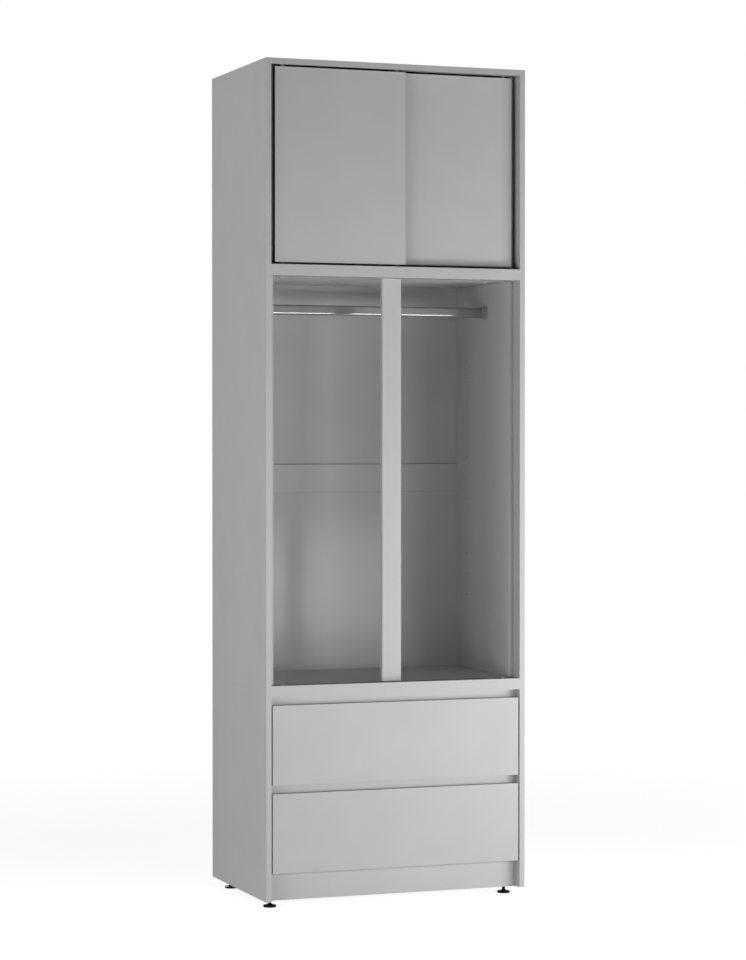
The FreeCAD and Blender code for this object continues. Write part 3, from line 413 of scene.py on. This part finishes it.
def soften_edges(node, radius):
    """Break a board's edges, with shading that stays even on its faces."""
    target = frame["nodes"][node]
    weld = target.modifiers.new("join_triangles", "WELD")
    weld.merge_threshold = WELD_DISTANCE
    bevel = target.modifiers.new("broken_edges", "BEVEL")
    bevel.width = radius
    bevel.segments = 2
    bevel.limit_method = "ANGLE"
    bevel.angle_limit = BROKEN_ANGLE
    target.modifiers.new("even_shading", "WEIGHTED_NORMAL")


class WARDROBE_OT_finish_boards(Operator):
    """Give every board its melamine, edge bands and broken edges"""
    bl_idname = "wardrobe.finish_boards"
    bl_label = "Finish boards"

    def execute(self, context):
        finishes = context.scene.wardrobe_finishes
        for node in nodes_of_slots("grey_board", "door_board", "drawer_front_board", "drawer_box_board"):
            low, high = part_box(node)
            band_colour = finishes.door_edge_colour if SLOT_OF_NODE[node] == "door_board" else None
            gloss = BACK_RAIL_GLOSS if node == "bay_back_rail" else PLAIN_GLOSS
            dress(node, melamine(f"melamine_{node}", low, high, finishes, band_colour, gloss))
            soften_edges(node, finishes.edge_round)
        return {"FINISHED"}


class WARDROBE_OT_finish_panels(Operator):
    """Give the back panels and drawer bottoms a grey face and a raw reverse side"""
    bl_idname = "wardrobe.finish_panels"
    bl_label = "Finish thin panels"

    def execute(self, context):
        finishes = context.scene.wardrobe_finishes
        rail_low, rail_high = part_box("bay_back_rail")
        # Painted shadow lines at the rail's lower and upper edges.
        bay_joint_shadows = ((rail_low.z, finishes.lower_joint_shadow), (rail_high.z, finishes.upper_joint_shadow))
        for node in nodes_of_slots("thin_panel"):
            low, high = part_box(node)
            axis = 2 if node.endswith("bottom") else 1
            middle = (low[axis] + high[axis]) / 2
            joints = bay_joint_shadows if node.startswith("bay") else ()
            dress(node, thin_panel(f"panel_{node}", axis, middle, axis == 1, joints, finishes))
        return {"FINISHED"}


class WARDROBE_OT_finish_metal(Operator):
    """Plate the rod, its sockets, the runners and the fasteners"""
    bl_idname = "wardrobe.finish_metal"
    bl_label = "Finish metal"

    def execute(self, context):
        finishes = context.scene.wardrobe_finishes
        rod = plated("rod_plate", finishes.rod_colour, ROD_ROUGHNESS, ALONG_X, SATIN_METALLIC, ROD_BUMP)
        socket = plated("socket_plate", finishes.socket_colour, SOCKET_ROUGHNESS, EVEN, SATIN_METALLIC)
        runner = plated("runner_zinc", finishes.steel_colour, RUNNER_ROUGHNESS, ALONG_Y)
        fastener = plated("fastener_zinc", finishes.steel_colour, FASTENER_ROUGHNESS, EVEN)
        for slot, material in (("rod_chrome", rod), ("socket_metal", socket),
                               ("runner_steel", runner), ("fastener_steel", fastener)):
            for node in nodes_of_slots(slot):
                dress(node, material)
        return {"FINISHED"}


class WARDROBE_OT_finish_plastic(Operator):
    """Give the tracks, glides, stops, feet and brackets their moulded skins"""
    bl_idname = "wardrobe.finish_plastic"
    bl_label = "Finish plastic"

    def execute(self, context):
        finishes = context.scene.wardrobe_finishes
        rows = (
            # Near-black tracks: dark plastic with painted shade of the door gaps.
            ("track_plastic", finishes.track_and_gap_shade_colour, PLASTIC_ROUGHNESS, TRACK_GLOSS),
            ("glide_plastic", finishes.glide_colour, GLIDE_ROUGHNESS, PLAIN_GLOSS),
            ("foot_plastic", finishes.foot_colour, PLASTIC_ROUGHNESS, FOOT_GLOSS),
        )
        for slot, colour, roughness, gloss in rows:
            material = moulded(slot, colour, roughness, gloss)
            for node in nodes_of_slots(slot):
                dress(node, material)
        return {"FINISHED"}


# Modelling helpers.

ROUND_SIDES = 32                     # sides of a round head or cap
TOP_SHARE = 0.99                     # share of a height above which a corner is part of the top
SLOT_LENGTH = 1.15                   # cross slot, as shares of the head's radius and height
SLOT_WIDTH = 0.24
SLOT_DEPTH = 0.65
SMOOTH_ANGLE = math.radians(35)      # faces that meet at less than this shade as one


def start(name, add_primitive, **settings):
    """Add one primitive with nothing else selected, and give it its name."""
    bpy.ops.object.select_all(action="DESELECT")
    add_primitive(**settings)
    piece = bpy.context.object
    piece.name = name
    piece.data.name = name
    return piece


def pick_faces(piece, test):
    """Select only the faces whose middle and normal pass the test."""
    bpy.ops.mesh.select_mode(type="FACE")
    mesh = bmesh.from_edit_mesh(piece.data)
    for face in mesh.faces:
        face.select_set(bool(test(face.calc_center_median(), face.normal)))
    mesh.select_flush_mode()
    bmesh.update_edit_mesh(piece.data)


def pick_edges(piece, test):
    """Select only the edges whose two ends pass the test."""
    bpy.ops.mesh.select_mode(type="EDGE")
    mesh = bmesh.from_edit_mesh(piece.data)
    for edge in mesh.edges:
        edge.select_set(all(test(vertex.co) for vertex in edge.verts))
    bmesh.update_edit_mesh(piece.data)


def extrude_up(height, scale, level):
    """Extrude the selected faces by a height, then scale them about the axis at that level."""
    bpy.ops.mesh.extrude_region_move(TRANSFORM_OT_translate={"value": (0, 0, height)})
    bpy.ops.transform.resize(value=(scale, scale, 1), center_override=(0, 0, level + height))


def recess(piece, cutter):
    """Cut one shape out of a piece and drop the cutter."""
    cutting = piece.modifiers.new("recess", "BOOLEAN")
    cutting.operation = "DIFFERENCE"
    cutting.solver = "EXACT"
    cutting.object = cutter
    bpy.context.view_layer.objects.active = piece
    bpy.ops.object.modifier_apply(modifier=cutting.name)
    bpy.data.objects.remove(cutter)


def slotted_head(name, radius, height, round_edge):
    """A round head along +Z, standing on z = 0, with a rounded rim and a cross recess."""
    head = start(name, bpy.ops.mesh.primitive_cylinder_add, vertices=ROUND_SIDES, radius=radius,
                 depth=height, location=(0, 0, height / 2))
    bpy.ops.object.transform_apply(location=True, rotation=True, scale=True)
    bpy.ops.object.mode_set(mode="EDIT")
    pick_edges(head, lambda corner: corner.z > height * TOP_SHARE)
    bpy.ops.mesh.bevel(offset=round_edge, segments=3, affect="EDGES")
    bpy.ops.object.mode_set(mode="OBJECT")
    long_side = radius * SLOT_LENGTH
    short_side = radius * SLOT_WIDTH
    for length, width in ((long_side, short_side), (short_side, long_side)):
        bar = start("slot_cutter", bpy.ops.mesh.primitive_cube_add, size=1, location=(0, 0, height))
        bar.scale = (length, width, height * 2 * SLOT_DEPTH)
        bpy.ops.object.transform_apply(location=True, rotation=True, scale=True)
        recess(head, bar)
    return head


def spread(master, name, places):
    """Copy a master to each place and direction, join the copies as one piece and drop the master."""
    copies = []
    for place, direction in places:
        copy = master.copy()
        copy.data = master.data.copy()
        turn = Vector((0, 0, 1)).rotation_difference(Vector(direction)).to_matrix().to_4x4()
        copy.data.transform(Matrix.Translation(Vector(place)) @ turn)
        bpy.context.scene.collection.objects.link(copy)
        copies.append(copy)
    bpy.ops.object.select_all(action="DESELECT")
    for copy in copies:
        copy.select_set(True)
    bpy.context.view_layer.objects.active = copies[0]
    if len(copies) > 1:
        bpy.ops.object.join()
    bpy.data.objects.remove(master)
    piece = copies[0]
    piece.name = name
    piece.data.name = name
    bpy.ops.object.shade_smooth_by_angle(angle=SMOOTH_ANGLE)
    return piece


def fit_piece(piece, body, material):
    """Dress a finished piece with its material and say which body it rides on."""
    piece.data.materials.clear()
    piece.data.materials.append(material)
    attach(piece, body)


# Small fittings.

FEET = tuple(f"{end}_{side}" for end in ("front", "rear") for side in ("left", "right"))
PAD_ROUND = 0.2                      # rounding of a pad's rim, as a share of its thickness
FLUTE_DEPTH = 0.04                   # depth of a flute, as a share of the pad's radius
CAM_ROUND = 0.4                      # rounding of a rim, as shares of the height
SCREW_ROUND = 0.6
CAP_ROUND = 0.6
CAP_RIM = 0.25                       # width of a cap's rim, as a share of its radius
CAP_DISH = 0.12                      # depth of a cap's dish, as a share of its height
CAP_TAPER = 0.97                     # floor of a cap's dish to its mouth
SCREW_MARGIN = 3                     # screw radii from the edge of a drawer side
BRACKET_SCREW_LEVELS = (0.3, 0.8)    # shares of a foot bracket's height


def model_foot(fittings, radius, height):
    """A levelling foot on the origin: fluted pad, cone collar and threaded stem."""
    pad = fittings.pad_thickness
    pad_round = pad * PAD_ROUND
    sides = fittings.foot_flutes * 2
    foot = start("foot", bpy.ops.mesh.primitive_cylinder_add, vertices=sides, radius=radius, depth=pad,
                 location=(0, 0, pad / 2))
    bpy.ops.object.transform_apply(location=True, rotation=True, scale=True)
    bpy.ops.object.mode_set(mode="EDIT")
    pick_edges(foot, lambda corner: corner.z > pad * TOP_SHARE or corner.z < pad * (1 - TOP_SHARE))
    bpy.ops.mesh.bevel(offset=pad_round, segments=2, affect="EDGES")
    step = 2 * math.pi / sides

    def is_flute(middle, normal):
        upright = abs(normal.z) < 0.1
        return upright and int(round(math.atan2(middle.y, middle.x) / step - 0.5)) % 2 == 0
    pick_faces(foot, is_flute)
    bpy.ops.mesh.extrude_faces_move(TRANSFORM_OT_shrink_fatten={"value": -radius * FLUTE_DEPTH})
    pick_faces(foot, lambda middle, normal: normal.z > 0.9 and middle.xy.length < radius * 0.1)
    bpy.ops.mesh.inset(thickness=radius - pad_round - fittings.collar_radius)
    extrude_up(fittings.collar_height, fittings.stem_radius / fittings.collar_radius, pad)
    level = pad + fittings.collar_height
    root = 1 - fittings.thread_depth / fittings.stem_radius
    while level + fittings.thread_pitch < height:
        for scale in (root, 1 / root):
            extrude_up(fittings.thread_pitch / 2, scale, level)
            level += fittings.thread_pitch / 2
    bpy.ops.object.mode_set(mode="OBJECT")
    return foot


class WARDROBE_OT_add_feet(Operator):
    """Model one levelling foot and stand a copy at each corner"""
    bl_idname = "wardrobe.add_feet"
    bl_label = "Add feet"

    def execute(self, context):
        low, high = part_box("front_left_foot")
        master = model_foot(context.scene.wardrobe_fittings, (high.x - low.x) / 2, high.z)
        foot_colour = context.scene.wardrobe_finishes.foot_colour
        skin = moulded("foot_skin", foot_colour, PLASTIC_ROUGHNESS, FOOT_GLOSS)
        for corner in FEET:
            low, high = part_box(f"{corner}_foot")
            place = ((low.x + high.x) / 2, (low.y + high.y) / 2, 0)
            copy = master.copy()
            copy.data = master.data.copy()
            context.scene.collection.objects.link(copy)
            foot = spread(copy, f"{corner}_fluted_foot", [(place, (0, 0, 1))])
            fit_piece(foot, f"{corner}_levelling_foot", skin)
            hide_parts(f"{corner}_foot")
        bpy.data.objects.remove(master)
        return {"FINISHED"}


class WARDROBE_OT_add_cam_faces(Operator):
    """Put cross-slotted faces on the cams that show on the top and on the underside"""
    bl_idname = "wardrobe.add_cam_faces"
    bl_label = "Add cam faces"

    def execute(self, context):
        fittings = context.scene.wardrobe_fittings
        places = []
        for node, direction in (("loft_top", 1), ("base_bottom", -1)):
            low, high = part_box(node)
            face = high.z if direction > 0 else low.z
            for x in (low.x + fittings.cam_inset, high.x - fittings.cam_inset):
                for y in (CAD_LOW[1] + fittings.cam_end, CAD_HIGH[1] - fittings.cam_end):
                    places.append(((x, y, face), (0, 0, direction)))
        height = fittings.cam_height
        master = slotted_head("cam_face", fittings.cam_radius, height, height * CAM_ROUND)
        faces = spread(master, "cam_faces", places)
        steel = plated("cam_zinc", context.scene.wardrobe_finishes.steel_colour, CAM_ROUGHNESS, EVEN)
        fit_piece(faces, "cabinet", steel)
        return {"FINISHED"}


class WARDROBE_OT_add_bolt_caps(Operator):
    """Cap the bolt heads that hold the three boxes together"""
    bl_idname = "wardrobe.add_bolt_caps"
    bl_label = "Add bolt caps"

    def execute(self, context):
        fittings = context.scene.wardrobe_fittings
        places = []
        for node, direction in (("base_top", -1), ("bay_bottom", 1), ("bay_top", -1), ("loft_bottom", 1)):
            low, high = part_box(node)
            face = high.z if direction > 0 else low.z
            for x in (CAD_LOW[0] + fittings.bolt_side, CAD_HIGH[0] - fittings.bolt_side):
                for y in (CAD_LOW[1] + fittings.bolt_end, CAD_HIGH[1] - fittings.bolt_end):
                    places.append(((x, y, face), (0, 0, direction)))
        radius = fittings.cap_radius
        height = fittings.cap_height
        master = start("bolt_cap", bpy.ops.mesh.primitive_cylinder_add, vertices=ROUND_SIDES, radius=radius,
                       depth=height, location=(0, 0, height / 2))
        bpy.ops.object.transform_apply(location=True, rotation=True, scale=True)
        bpy.ops.object.mode_set(mode="EDIT")
        pick_edges(master, lambda corner: corner.z > height * TOP_SHARE)
        bpy.ops.mesh.bevel(offset=height * CAP_ROUND, segments=3, affect="EDGES")
        pick_faces(master, lambda middle, normal: normal.z > 0.99)
        bpy.ops.mesh.inset(thickness=radius * CAP_RIM)
        extrude_up(-height * CAP_DISH, CAP_TAPER, height)
        bpy.ops.object.mode_set(mode="OBJECT")
        caps = spread(master, "bolt_caps", places)
        plastic = moulded("cap_plastic", context.scene.wardrobe_finishes.board_colour, PLASTIC_ROUGHNESS)
        fit_piece(caps, "cabinet", plastic)
        return {"FINISHED"}


class WARDROBE_OT_add_screws(Operator):
    """Put cross-head screws through the drawer sides and into the foot brackets"""
    bl_idname = "wardrobe.add_screws"
    bl_label = "Add screws"

    def execute(self, context):
        fittings = context.scene.wardrobe_fittings
        steel = plated("screw_zinc", context.scene.wardrobe_finishes.steel_colour, SCREW_ROUGHNESS, EVEN)

        def screws(name, body, places):
            height = fittings.screw_height
            master = slotted_head(name, fittings.screw_radius, height, height * SCREW_ROUND)
            fit_piece(spread(master, name, places), body, steel)
        for drawer in ("upper_drawer", "lower_drawer"):
            back_low, back_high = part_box(f"{drawer}_back")
            y = (back_low.y + back_high.y) / 2
            margin = SCREW_MARGIN * fittings.screw_radius
            places = []
            for side, direction in (("left", -1), ("right", 1)):
                low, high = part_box(f"{drawer}_{side}_side")
                x = low.x if direction < 0 else high.x
                places += [((x, y, z), (direction, 0, 0)) for z in (low.z + margin, high.z - margin)]
            screws(f"{drawer}_screws", drawer, places)
        brackets_low, brackets_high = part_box("foot_brackets")
        places = []
        for corner in FEET:
            low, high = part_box(f"{corner}_foot")
            middle = (low + high) / 2
            inward = 1 if middle.x < 0 else -1
            reach = fittings.stem_radius + BRACKET_WALL
            for level in BRACKET_SCREW_LEVELS:
                z = brackets_low.z + level * (brackets_high.z - brackets_low.z)
                places.append(((middle.x + inward * reach, middle.y, z), (inward, 0, 0)))
        screws("bracket_screws", "cabinet", places)
        return {"FINISHED"}


# Stage: floor, backdrop light, lamps and camera.

FLOOR_COLOUR = (0.8, 0.8, 0.8)
FLOOR_SHADES = (0.98, 1.02)
FLOOR_SCALE = 0.5                    # of the floor's noise pattern, per metre
FLOOR_GLOW = (0.85, 1.0)             # brightness of the floor near the wardrobe and far from it
GLOW_FADE = (1.5, 4.0)               # metres from the middle between which that brightness rises
SENSOR_WIDTH = 36                    # millimetres


def seen_directly(tree):
    """One for rays from the camera, from gloss and through glass, else zero."""
    path = add_node(tree, "ShaderNodeLightPath").outputs
    shown = math_node(tree, "MAXIMUM", path["Is Camera Ray"], path["Is Glossy Ray"])
    return math_node(tree, "MAXIMUM", shown, path["Is Transmission Ray"])


def floor_material():
    material, tree, shader = new_material("pale_floor")
    tree.nodes.remove(shader)
    place = object_place(tree)
    tint = shaded(tree, FLOOR_COLOUR, noise(tree, place, FLOOR_SCALE), *FLOOR_SHADES)
    diffuse = add_node(tree, "ShaderNodeBsdfDiffuse", None, Color=tint).outputs[0]
    away = add_node(tree, "ShaderNodeVectorMath", {"operation": "LENGTH"}, i0=place).outputs["Value"]
    brightness = ranged(tree, away, *FLOOR_GLOW, *GLOW_FADE)
    glow = add_node(tree, "ShaderNodeEmission", None, Strength=brightness).outputs[0]
    lit = add_node(tree, "ShaderNodeAddShader", None, i0=diffuse, i1=glow).outputs[0]
    mix = add_node(tree, "ShaderNodeMixShader", None, i0=seen_directly(tree), i1=diffuse, i2=lit).outputs[0]
    tree.links.new(mix, tree.nodes["Material Output"].inputs["Surface"])
    return material


# Each lamp: name, place, point it is aimed at, width, height, watts.
MIDDLE = (0.0, 0.0, 1.0)
LAMPS = (
    ("front_lamp", (1.2, -3.6, 0.70), (1.2, 0.0, 0.70), 1.2, 0.5, 33.0),
    ("front_right_lamp", (2.4, -3.6, 0.77), MIDDLE, 1.2, 0.5, 29.0),
    ("low_right_lamp", (1.9, -2.1, 0.38), (1.9, 0.0, 0.38), 0.6, 0.65, 17.0),
    ("right_near_lamp", (2.8, -2.1, 0.40), MIDDLE, 1.0, 0.7, 25.0),
    ("left_near_lamp", (-2.6, -2.1, 0.47), MIDDLE, 1.2, 0.9, 18.5),
    ("left_far_lamp", (-6.5, -2.4, 0.60), MIDDLE, 2.4, 1.0, 98.0),
    ("side_high_lamp", (-3.0, 0.3, 3.00), (0.0, 0.2, 1.2), 1.4, 1.0, 14.5),
)
# Lamps for the sides that the camera doesn't see, which light the wardrobe and not the floor.
FAR_SIDE_LAMPS = (
    ("right_side_lamp", (3.6, 0.7, 1.60), (0.4, 0.1, 1.4), 1.4, 1.4, 30.0),
    ("back_lamp", (0.0, 3.2, 2.00), (0.0, 0.0, 1.3), 0.7, 1.6, 80.0),
    ("top_lamp", (0.0, 1.4, 4.30), (0.0, 0.1, 2.4), 0.7, 1.4, 40.0),
)
# Lamps for one group of nodes each: the glint of the rod, and the far corner of the bay's back.
ROD_LAMP = ("rod_lamp", (0.965, -2.1, 0.38), (0.965, 0.0, 0.38), 1.43, 0.7, 76.5)
BAY_BACK_LAMP = ("bay_back_lamp", (-3.00, -2.1, 1.50), (0.35, 0.24, 1.20), 0.08, 0.9, 14.5)


def lamp(name, place, aim, width, height, watts, level):
    """A soft lamp that lights the scene and isn't seen by the camera itself."""
    data = bpy.data.lights.new(name, "AREA")
    data.shape = "RECTANGLE"
    data.size = width
    data.size_y = height
    data.energy = watts * level
    light = bpy.data.objects.new(name, data)
    light.location = place
    light.rotation_euler = (Vector(aim) - Vector(place)).to_track_quat("-Z", "Y").to_euler()
    light.visible_camera = False
    bpy.context.scene.collection.objects.link(light)
    return light


def receivers(name, nodes):
    """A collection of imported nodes, for a lamp that lights only these."""
    collection = bpy.data.collections.new(name)
    for node in nodes:
        collection.objects.link(frame["nodes"][node])
    return collection


class WARDROBE_OT_build_stage(Operator):
    """Build the pale floor, the white surroundings, the lamps and the camera"""
    bl_idname = "wardrobe.build_stage"
    bl_label = "Build stage"

    def execute(self, context):
        stage = context.scene.wardrobe_stage
        bpy.ops.object.select_all(action="DESELECT")
        bpy.ops.mesh.primitive_plane_add(size=stage.floor_size, location=(0, 0, 0))
        floor = context.object
        floor.name = "floor"
        floor.data.materials.append(floor_material())
        world = bpy.data.worlds.new("white_surroundings")
        world.use_nodes = True
        tree = world.node_tree
        background = tree.nodes["Background"]
        strength = chosen(tree, seen_directly(tree), stage.ambient, 1.0)
        tree.links.new(strength, background.inputs["Strength"])
        background.inputs["Color"].default_value = (1, 1, 1, 1)
        context.scene.world = world
        for row in LAMPS:
            lamp(*row, stage.light_level)
        all_but_floor = bpy.data.collections.new("all_but_floor")
        all_but_floor.objects.link(floor)
        all_but_floor.collection_objects[0].light_linking.link_state = "EXCLUDE"
        for row in FAR_SIDE_LAMPS:
            lamp(*row, stage.light_level).light_linking.receiver_collection = all_but_floor
        rod_only = receivers("rod_only", ("hanging_rod", "left_rod_socket", "right_rod_socket"))
        glint = lamp(*ROD_LAMP, stage.light_level)
        glint.visible_diffuse = False
        glint.light_linking.receiver_collection = rod_only
        bay_back = receivers("bay_back_only", ("bay_upper_back", "bay_lower_back", "bay_back_rail"))
        lamp(*BAY_BACK_LAMP, stage.light_level).light_linking.receiver_collection = bay_back
        data = bpy.data.cameras.new("camera")
        data.lens = stage.camera_lens
        data.sensor_width = SENSOR_WIDTH
        camera = bpy.data.objects.new("camera", data)
        camera.location = stage.camera_place
        camera.rotation_euler = (math.pi / 2 + stage.camera_pitch, 0, -stage.camera_yaw)
        context.scene.collection.objects.link(camera)
        context.scene.camera = camera
        context.scene.view_settings.view_transform = "Standard"
        return {"FINISHED"}


OPERATORS = (
    WARDROBE_OT_finish_boards,
    WARDROBE_OT_finish_panels,
    WARDROBE_OT_finish_metal,
    WARDROBE_OT_finish_plastic,
    WARDROBE_OT_add_feet,
    WARDROBE_OT_add_cam_faces,
    WARDROBE_OT_add_bolt_caps,
    WARDROBE_OT_add_screws,
    WARDROBE_OT_build_stage,
)


class WARDROBE_PT_sidebar(Panel):
    """Lists the steps that finish the wardrobe"""
    bl_idname = "WARDROBE_PT_sidebar"
    bl_label = "Wardrobe"
    bl_space_type = "VIEW_3D"
    bl_region_type = "UI"
    bl_category = "Wardrobe"

    def draw(self, context):
        for operator in OPERATORS:
            self.layout.operator(operator.bl_idname)


CLASSES = (WardrobeFinishes, WardrobeFittings, WardrobeStage) + OPERATORS + (WARDROBE_PT_sidebar,)


def register():
    for cls in CLASSES:
        bpy.utils.register_class(cls)
    bpy.types.Scene.wardrobe_finishes = PointerProperty(type=WardrobeFinishes)
    bpy.types.Scene.wardrobe_fittings = PointerProperty(type=WardrobeFittings)
    bpy.types.Scene.wardrobe_stage = PointerProperty(type=WardrobeStage)


def unregister():
    del bpy.types.Scene.wardrobe_stage
    del bpy.types.Scene.wardrobe_fittings
    del bpy.types.Scene.wardrobe_finishes
    for cls in reversed(CLASSES):
        bpy.utils.unregister_class(cls)


def main():
    register()
    bpy.ops.wardrobe.finish_boards()
    bpy.ops.wardrobe.finish_panels()
    bpy.ops.wardrobe.finish_metal()
    bpy.ops.wardrobe.finish_plastic()
    bpy.ops.wardrobe.add_feet()
    bpy.ops.wardrobe.add_cam_faces()
    bpy.ops.wardrobe.add_bolt_caps()
    bpy.ops.wardrobe.add_screws()
    bpy.ops.wardrobe.build_stage()


if __name__ == "__main__":
    main()
